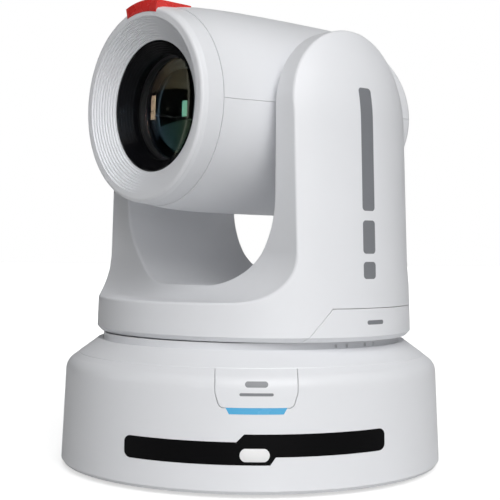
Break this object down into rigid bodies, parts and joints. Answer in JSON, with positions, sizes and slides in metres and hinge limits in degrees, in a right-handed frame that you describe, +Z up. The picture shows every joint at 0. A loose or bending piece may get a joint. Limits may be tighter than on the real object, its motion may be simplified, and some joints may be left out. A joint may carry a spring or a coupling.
{
  "type": "pan-tilt-zoom conference camera",
  "caption": "Motorised conference camera: round base with rear sockets, a U-shaped yoke that pans on it and a lens head that tilts between its arms.",
  "frame": {"origin": "centre of the footprint at the level that the feet stand on", "axes": "+Z up along the pan axis; the base's front, with the window and the status light, faces -Y; the stored pose has the lens panned about 50 degrees towards -X"},
  "size_m": [0.176, 0.176, 0.2069],
  "materials": {
    "white_shell": "satin cool-white moulded ABS",
    "black_gloss": "polished black infrared window",
    "emblem_white": "plain white insert",
    "status_blue": "translucent blue light guide",
    "tally_red": "translucent red lens",
    "black_ring": "matt black with fine grooves",
    "dark_plastic": "black moulded plastic",
    "glass_front": "coated optical glass",
    "glass_inner": "coated optical glass",
    "sheet_metal": "zinc-plated sheet",
    "turned_metal": "machined",
    "bearing_steel": "polished bearing steel",
    "board_green": "solder-masked circuit board",
    "chip_black": "moulded chip packages",
    "rubber_black": "soft rubber",
    "nylon_gear": "natural acetal",
    "socket_metal": "nickel-plated shell",
    "motor_steel": "plated motor can",
    "panel_dark": "dark grey powder coat"
  },
  "bodies": {
    "base": {"audio_socket": "dark_plastic", "base_housing": "white_shell", "base_plate": "panel_dark", "base_posts": "turned_metal", "base_top_cover": "white_shell", "board_chips": "chip_black", "control_cups": "dark_plastic", "control_sockets": "dark_plastic", "hdmi_socket": "socket_metal", "heat_sink": "turned_metal", "infrared_receivers": "dark_plastic", "light_board": "board_green", "main_board": "board_green", "network_socket": "socket_metal", "pan_bearing_balls": "bearing_steel", "pan_bearing_outer": "bearing_steel", "pan_deck": "sheet_metal", "pan_motor": "motor_steel", "power_socket": "dark_plastic", "rear_panel": "panel_dark", "rubber_feet": "rubber_black", "status_light": "status_blue", "usb_socket": "socket_metal", "video_connector": "socket_metal", "window_band": "black_gloss", "window_emblem": "emblem_white"},
    "yoke": {"yoke_shell": "white_shell", "yoke_caps": "white_shell", "yoke_plate": "sheet_metal", "yoke_frame": "sheet_metal", "yoke_screws": "bearing_steel", "pan_spindle": "turned_metal", "pan_bearing_inner": "bearing_steel", "pan_gear": "nylon_gear", "tilt_bearings": "nylon_gear", "tilt_motor": "motor_steel", "arm_board": "board_green"},
    "head": {"head_upper_shell": "white_shell", "head_lower_shell": "white_shell", "tally_light": "tally_red", "front_ring": "white_shell", "lens_ring": "black_ring", "lens_barrel": "dark_plastic", "front_glass": "glass_front", "iris_plate": "black_ring", "guide_rods": "bearing_steel", "sensor_block": "turned_metal", "image_sensor": "chip_black", "sensor_board": "board_green", "camera_chassis": "sheet_metal", "tilt_shafts": "turned_metal", "tilt_gear": "nylon_gear"},
    "zoom_group": {"zoom_cell": "dark_plastic", "zoom_glass": "glass_inner"},
    "focus_group": {"focus_cell": "dark_plastic", "focus_glass": "glass_inner"},
    "pan_pinion": {"pan_pinion": "nylon_gear"},
    "tilt_pinion": {"tilt_pinion": "nylon_gear"},
    "format_dial": {"format_dial": "emblem_white"},
    "reset_button": {"reset_button": "emblem_white"}
  },
  "joints": [
    {"name": "pan", "type": "hinge", "parent": "base", "child": "yoke", "pos_m": [0, 0, 0.044], "axis": [0, 0, 1], "range_deg": [-120.2, 219.8]},
    {"name": "tilt", "type": "hinge", "parent": "yoke", "child": "head", "pos_m": [0, 0, 0.1608], "axis": [0.6455, -0.7638, 0], "range_deg": [-90, 30]},
    {"name": "pan_pinion_spin", "type": "hinge", "parent": "base", "child": "pan_pinion", "pos_m": [0.0215, 0.03724, 0.05], "axis": [0, 0, 1], "range_deg": [-1140, 630]},
    {"name": "tilt_pinion_spin", "type": "hinge", "parent": "yoke", "child": "tilt_pinion", "pos_m": [0.03853, -0.0456, 0.1368], "axis": [0.6455, -0.7638, 0], "range_deg": [-130, 370]},
    {"name": "zoom_slide", "type": "slide", "parent": "head", "child": "zoom_group", "axis": [-0.7638, -0.6455, 0], "range_m": [-0.003, 0.01]},
    {"name": "focus_slide", "type": "slide", "parent": "head", "child": "focus_group", "axis": [-0.7638, -0.6455, 0], "range_m": [-0.003, 0.005]},
    {"name": "format_dial_turn", "type": "hinge", "parent": "base", "child": "format_dial", "pos_m": [0, 0.065, 0.031], "axis": [0, 1, 0], "continuous": true},
    {"name": "reset_button_press", "type": "slide", "parent": "base", "child": "reset_button", "axis": [0, -1, 0], "range_m": [0, 0.0012], "stiffness_N_per_m": 400}
  ],
  "couplings": [
    {"joint": "pan_pinion_spin", "follows": "pan", "ratio": -5.1429},
    {"joint": "tilt_pinion_spin", "follows": "tilt", "ratio": -4}
  ]
}
